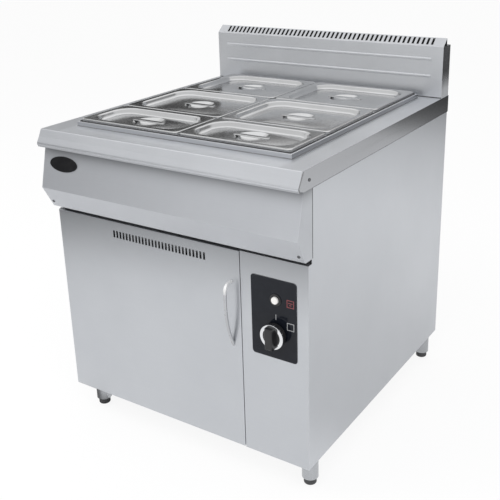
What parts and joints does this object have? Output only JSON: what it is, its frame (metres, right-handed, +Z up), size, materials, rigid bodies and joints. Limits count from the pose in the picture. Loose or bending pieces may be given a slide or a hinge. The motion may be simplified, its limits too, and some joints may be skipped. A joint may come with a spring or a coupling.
{
  "type": "gas bain marie",
  "caption": "Gas bain marie on a steel cabinet: lidded pans in a heated water well, flue upstand behind, vented cupboard door with a bow handle, gas tap and igniter button beside it.",
  "frame": {"origin": "on the floor under the middle of the cabinet", "axes": "+X to the right seen from the front, +Y to the rear, +Z up"},
  "size_m": [0.804, 0.8899, 1.052],
  "materials": {
    "satin_steel": "brushed stainless sheet",
    "inner_steel": "plain stainless sheet",
    "pan_steel": "satin stainless",
    "lid_steel": "satin stainless",
    "handle_steel": "satin stainless",
    "leg_steel": "polished stainless tube",
    "pipe_steel": "plain steel pipe",
    "bright_screws": "bright screw heads",
    "ring_chrome": "polished ring",
    "brass": "plain brass",
    "black_plate": "satin black",
    "black_badge": "plain black",
    "black_plastic": "black plastic",
    "white_plastic": "white plastic",
    "lever_red": "red coated lever",
    "foot_black": "black plastic"
  },
  "bodies": {
    "cabinet": {"worktop": "satin_steel", "well_frame": "satin_steel", "front_fascia": "satin_steel", "left_side_panel": "satin_steel", "right_side_panel": "satin_steel", "rear_panel": "satin_steel", "control_panel": "satin_steel", "flue_front_panel": "satin_steel", "flue_top_grille": "satin_steel", "flue_casing": "satin_steel", "water_tank": "inner_steel", "divider_bar": "inner_steel", "cross_bars": "inner_steel", "base_panel": "inner_steel", "front_rail": "inner_steel", "partition_panel": "inner_steel", "combustion_chamber": "inner_steel", "burner_tubes": "inner_steel", "pilot_burner": "inner_steel", "thermocouple": "inner_steel", "hinge_brackets": "inner_steel", "magnet_catch": "inner_steel", "overflow_pipe": "inner_steel", "drain_pipe": "inner_steel", "casing_screws": "bright_screws", "badge_plate": "black_badge", "control_plate": "black_plate", "gas_manifold": "pipe_steel", "gas_pipes": "pipe_steel", "gas_tap": "brass", "gas_inlet": "brass", "drain_valve": "brass", "piezo_igniter": "black_plastic", "leg_tubes": "leg_steel"},
    "door": {"door_panel": "satin_steel", "door_liner": "inner_steel", "door_handle": "handle_steel", "striker_plate": "inner_steel"},
    "tap_collar": {"spindle_collar": "brass"},
    "knob": {"knob_grip": "black_plastic", "knob_ring": "ring_chrome", "tap_spindle": "brass"},
    "igniter_button": {"piezo_button": "white_plastic"},
    "drain_handle": {"drain_lever": "lever_red"},
    "foot_front_left": {"foot_front_left": "foot_black"},
    "foot_front_right": {"foot_front_right": "foot_black"},
    "foot_rear_left": {"foot_rear_left": "foot_black"},
    "foot_rear_right": {"foot_rear_right": "foot_black"},
    "pan_front_left": {"pan_front_left": "pan_steel"},
    "lid_front_left": {"lid_front_left": "lid_steel"},
    "pan_front_right": {"pan_front_right": "pan_steel"},
    "lid_front_right": {"lid_front_right": "lid_steel"},
    "pan_middle_left": {"pan_middle_left": "pan_steel"},
    "lid_middle_left": {"lid_middle_left": "lid_steel"},
    "pan_middle_right": {"pan_middle_right": "pan_steel"},
    "lid_middle_right": {"lid_middle_right": "lid_steel"},
    "pan_back_left": {"pan_back_left": "pan_steel"},
    "lid_back_left": {"lid_back_left": "lid_steel"},
    "pan_back_right": {"pan_back_right": "pan_steel"},
    "lid_back_right": {"lid_back_right": "lid_steel"}
  },
  "joints": [
    {"name": "door_swing", "type": "hinge", "parent": "cabinet", "child": "door", "pos_m": [-0.391, -0.382, 0.371], "axis": [0, 0, -1], "range_deg": [0, 100]},
    {"name": "knob_push", "type": "slide", "parent": "cabinet", "child": "tap_collar", "axis": [0, 1, 0], "range_m": [0, 0.004], "stiffness_N_per_m": 500},
    {"name": "knob_turn", "type": "hinge", "parent": "tap_collar", "child": "knob", "pos_m": [0.3095, -0.41, 0.453], "axis": [0, -1, 0], "range_deg": [0, 180]},
    {"name": "button_press", "type": "slide", "parent": "cabinet", "child": "igniter_button", "axis": [0, 1, 0], "range_m": [0, 0.004], "stiffness_N_per_m": 300},
    {"name": "drain_turn", "type": "hinge", "parent": "cabinet", "child": "drain_handle", "pos_m": [-0.29, -0.3275, 0.548], "axis": [0, 1, 0], "range_deg": [0, 90]},
    {"name": "foot_front_left_screw", "type": "slide", "parent": "cabinet", "child": "foot_front_left", "axis": [0, 0, -1], "range_m": [0, 0.03]},
    {"name": "foot_front_right_screw", "type": "slide", "parent": "cabinet", "child": "foot_front_right", "axis": [0, 0, -1], "range_m": [0, 0.03]},
    {"name": "foot_rear_left_screw", "type": "slide", "parent": "cabinet", "child": "foot_rear_left", "axis": [0, 0, -1], "range_m": [0, 0.03]},
    {"name": "foot_rear_right_screw", "type": "slide", "parent": "cabinet", "child": "foot_rear_right", "axis": [0, 0, -1], "range_m": [0, 0.03]},
    {"name": "pan_front_left_lift", "type": "slide", "parent": "cabinet", "child": "pan_front_left", "axis": [0, 0, 1], "range_m": [0, 0.2]},
    {"name": "lid_front_left_lift", "type": "slide", "parent": "pan_front_left", "child": "lid_front_left", "axis": [0, 0, 1], "range_m": [0, 0.06]},
    {"name": "pan_front_right_lift", "type": "slide", "parent": "cabinet", "child": "pan_front_right", "axis": [0, 0, 1], "range_m": [0, 0.2]},
    {"name": "lid_front_right_lift", "type": "slide", "parent": "pan_front_right", "child": "lid_front_right", "axis": [0, 0, 1], "range_m": [0, 0.06]},
    {"name": "pan_middle_left_lift", "type": "slide", "parent": "cabinet", "child": "pan_middle_left", "axis": [0, 0, 1], "range_m": [0, 0.2]},
    {"name": "lid_middle_left_lift", "type": "slide", "parent": "pan_middle_left", "child": "lid_middle_left", "axis": [0, 0, 1], "range_m": [0, 0.06]},
    {"name": "pan_middle_right_lift", "type": "slide", "parent": "cabinet", "child": "pan_middle_right", "axis": [0, 0, 1], "range_m": [0, 0.2]},
    {"name": "lid_middle_right_lift", "type": "slide", "parent": "pan_middle_right", "child": "lid_middle_right", "axis": [0, 0, 1], "range_m": [0, 0.06]},
    {"name": "pan_back_left_lift", "type": "slide", "parent": "cabinet", "child": "pan_back_left", "axis": [0, 0, 1], "range_m": [0, 0.2]},
    {"name": "lid_back_left_lift", "type": "slide", "parent": "pan_back_left", "child": "lid_back_left", "axis": [0, 0, 1], "range_m": [0, 0.06]},
    {"name": "pan_back_right_lift", "type": "slide", "parent": "cabinet", "child": "pan_back_right", "axis": [0, 0, 1], "range_m": [0, 0.2]},
    {"name": "lid_back_right_lift", "type": "slide", "parent": "pan_back_right", "child": "lid_back_right", "axis": [0, 0, 1], "range_m": [0, 0.06]}
  ]
}
